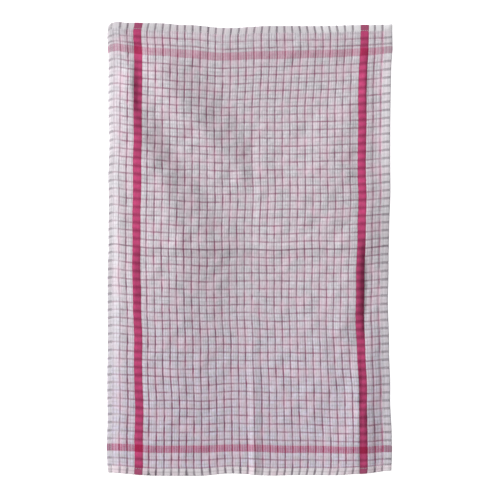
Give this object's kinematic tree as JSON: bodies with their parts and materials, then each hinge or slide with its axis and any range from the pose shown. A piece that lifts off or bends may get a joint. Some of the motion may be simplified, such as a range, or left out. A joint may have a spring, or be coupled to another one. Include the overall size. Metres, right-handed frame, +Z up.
{
  "type": "tea towel",
  "caption": "Checked cotton tea towel with turned hems, lying face up with the soft folds it was put away in.",
  "frame": {"origin": "middle of the towel's outline, on the level surface it lies on", "axes": "+Y along the towel's length, +X across its width, +Z up through the cloth"},
  "size_m": [0.4447, 0.7072, 0.0108],
  "materials": {
    "checked_cotton": "matt white cotton in puffed cells between sunk wine lines, raspberry side stripes, pale pink end bands"
  },
  "bodies": {
    "root": {"towel_cloth": "checked_cotton"}
  },
  "joints": []
}
